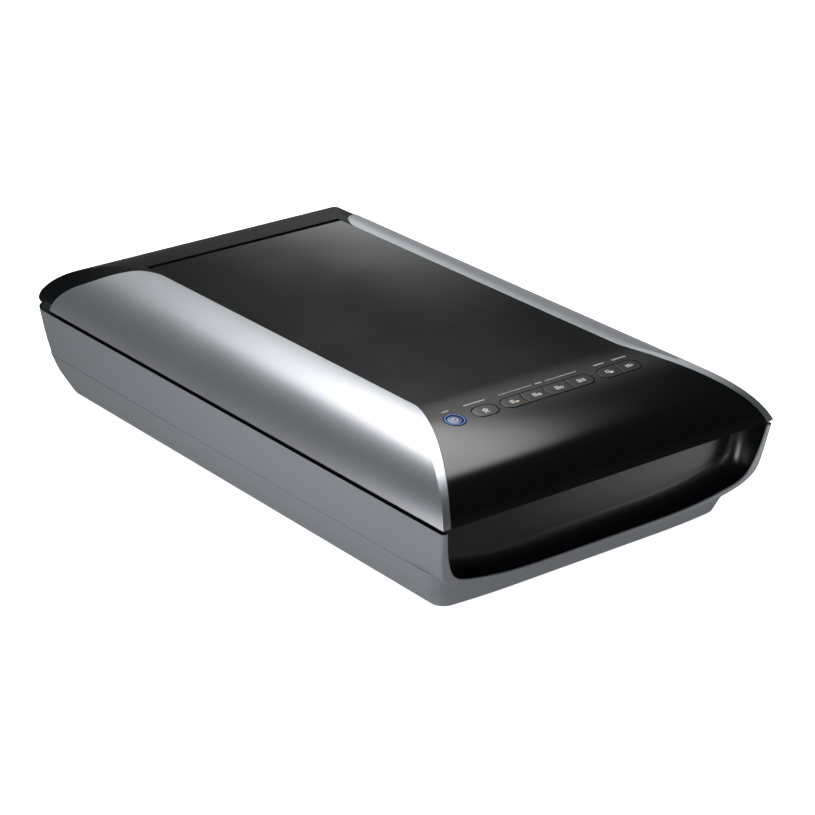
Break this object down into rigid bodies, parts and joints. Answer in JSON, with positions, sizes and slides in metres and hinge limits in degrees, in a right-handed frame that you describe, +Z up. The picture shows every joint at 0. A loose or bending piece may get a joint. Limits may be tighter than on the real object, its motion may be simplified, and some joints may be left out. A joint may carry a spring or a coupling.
{
  "type": "flatbed scanner",
  "caption": "Flatbed scanner with a curved film-scanning lid, finger bay and key row at the front, lifting rear hinge, glass platen and belt-driven scanning carriage inside.",
  "frame": {"origin": "on the resting surface, under the middle of the case", "axes": "+X right seen from the front, +Y towards the hinge at the rear, +Z up"},
  "size_m": [0.272, 0.481, 0.1091],
  "materials": {
    "case_grey": "satin grey paint on moulded plastic",
    "silver_paint": "silver metallic paint on moulded plastic",
    "gloss_black": "high-gloss black",
    "satin_black": "satin black",
    "inner_black": "fine-textured black",
    "key_black": "semi-gloss black with a pale printed symbol",
    "blue_light": "translucent light guide lit blue",
    "platen_glass": "clear polished float glass",
    "white_plastic": "smooth white",
    "diffuser": "milky diffuser",
    "sheet_white": "even matt white backing sheet",
    "steel": "bright steel",
    "nickel": "nickel plate",
    "brass": "turned brass",
    "rubber": "moulded rubber",
    "nylon": "natural moulded nylon",
    "circuit_board": "green solder mask",
    "mirror": "front-surface mirror"
  },
  "bodies": {
    "base": {"base_tub": "case_grey", "front_bay": "satin_black", "top_frame": "inner_black", "platen_glass": "platen_glass", "calibration_strip": "sheet_white", "foot_front_left": "rubber", "foot_front_right": "rubber", "foot_rear_left": "rubber", "foot_rear_right": "rubber", "case_screw_front_left": "steel", "case_screw_front_right": "steel", "case_screw_rear_left": "steel", "case_screw_rear_right": "steel", "main_board": "circuit_board", "usb_socket": "nickel", "power_jack": "inner_black", "guide_shaft": "steel", "support_rail": "nylon", "drive_belt": "rubber", "motor_body": "steel", "motor_bracket": "steel"},
    "lock": {"lock_switch": "satin_black"},
    "drive_gear": {"drive_pulley_gear": "nylon"},
    "idler": {"idler_pulley": "nylon"},
    "pinion": {"motor_pinion": "brass"},
    "carriage": {"carriage_housing": "inner_black", "mirror_lower": "mirror", "mirror_front": "mirror", "mirror_rear": "mirror", "lens_block": "inner_black", "ccd_board": "circuit_board", "light_bar": "diffuser", "shaft_bushing": "brass", "belt_clamp": "nylon"},
    "hinge_legs": {"hinge_leg_left": "inner_black", "hinge_leg_right": "inner_black", "hinge_pin_left": "steel", "hinge_pin_right": "steel"},
    "lid": {"hinge_bracket_left": "steel", "hinge_bracket_right": "steel", "silver_side_left": "silver_paint", "silver_side_right": "silver_paint", "gloss_top_panel": "gloss_black", "rear_cover": "satin_black", "lid_frame": "inner_black", "film_light_panel": "diffuser", "lamp_housing": "white_plastic", "lamp_bar": "diffuser", "button_board": "circuit_board", "power_light_ring": "blue_light"},
    "sheet": {"cover_sheet": "sheet_white"},
    "key_power": {"button_power": "blue_light"},
    "key_auto_scan": {"button_auto_scan": "key_black"},
    "key_pdf_colour": {"button_pdf_colour": "key_black"},
    "key_pdf_mono": {"button_pdf_mono": "key_black"},
    "key_pdf_custom": {"button_pdf_custom": "key_black"},
    "key_pdf_finish": {"button_pdf_finish": "key_black"},
    "key_copy": {"button_copy": "key_black"},
    "key_email": {"button_email": "key_black"}
  },
  "joints": [
    {"name": "hinge_lift", "type": "slide", "parent": "base", "child": "hinge_legs", "axis": [0, 0, 1], "range_m": [0, 0.02]},
    {"name": "lid_hinge", "type": "hinge", "parent": "hinge_legs", "child": "lid", "pos_m": [0, 0.224, 0.082], "axis": [-1, 0, 0], "range_deg": [0, 85]},
    {"name": "sheet_release", "type": "slide", "parent": "lid", "child": "sheet", "axis": [0, -1, 0], "range_m": [0, 0.012]},
    {"name": "carriage_travel", "type": "slide", "parent": "base", "child": "carriage", "axis": [0, 1, 0], "range_m": [0, 0.315]},
    {"name": "lock_slide", "type": "slide", "parent": "base", "child": "lock", "axis": [1, 0, 0], "range_m": [0, 0.01]},
    {"name": "drive_gear_spin", "type": "hinge", "parent": "base", "child": "drive_gear", "pos_m": [-0.084, 0.196, 0.015], "axis": [0, 0, 1], "continuous": true},
    {"name": "idler_spin", "type": "hinge", "parent": "base", "child": "idler", "pos_m": [-0.084, -0.19, 0.015], "axis": [0, 0, 1], "continuous": true},
    {"name": "pinion_spin", "type": "hinge", "parent": "base", "child": "pinion", "pos_m": [-0.1083, 0.196, 0.009], "axis": [0, 0, 1], "continuous": true},
    {"name": "press_power", "type": "slide", "parent": "lid", "child": "key_power", "axis": [0, 0.1419, -0.9899], "range_m": [0, 0.0008], "stiffness_N_per_m": 500},
    {"name": "press_auto_scan", "type": "slide", "parent": "lid", "child": "key_auto_scan", "axis": [0, 0.1419, -0.9899], "range_m": [0, 0.0008], "stiffness_N_per_m": 500},
    {"name": "press_pdf_colour", "type": "slide", "parent": "lid", "child": "key_pdf_colour", "axis": [0, 0.1419, -0.9899], "range_m": [0, 0.0008], "stiffness_N_per_m": 500},
    {"name": "press_pdf_mono", "type": "slide", "parent": "lid", "child": "key_pdf_mono", "axis": [0, 0.1419, -0.9899], "range_m": [0, 0.0008], "stiffness_N_per_m": 500},
    {"name": "press_pdf_custom", "type": "slide", "parent": "lid", "child": "key_pdf_custom", "axis": [0, 0.1419, -0.9899], "range_m": [0, 0.0008], "stiffness_N_per_m": 500},
    {"name": "press_pdf_finish", "type": "slide", "parent": "lid", "child": "key_pdf_finish", "axis": [0, 0.1419, -0.9899], "range_m": [0, 0.0008], "stiffness_N_per_m": 500},
    {"name": "press_copy", "type": "slide", "parent": "lid", "child": "key_copy", "axis": [0, 0.1419, -0.9899], "range_m": [0, 0.0008], "stiffness_N_per_m": 500},
    {"name": "press_email", "type": "slide", "parent": "lid", "child": "key_email", "axis": [0, 0.1419, -0.9899], "range_m": [0, 0.0008], "stiffness_N_per_m": 500}
  ],
  "couplings": [
    {"joint": "drive_gear_spin", "follows": "carriage_travel", "rad_per_m": 126.58},
    {"joint": "idler_spin", "follows": "carriage_travel", "rad_per_m": 126.58},
    {"joint": "pinion_spin", "follows": "carriage_travel", "rad_per_m": -379.75}
  ]
}
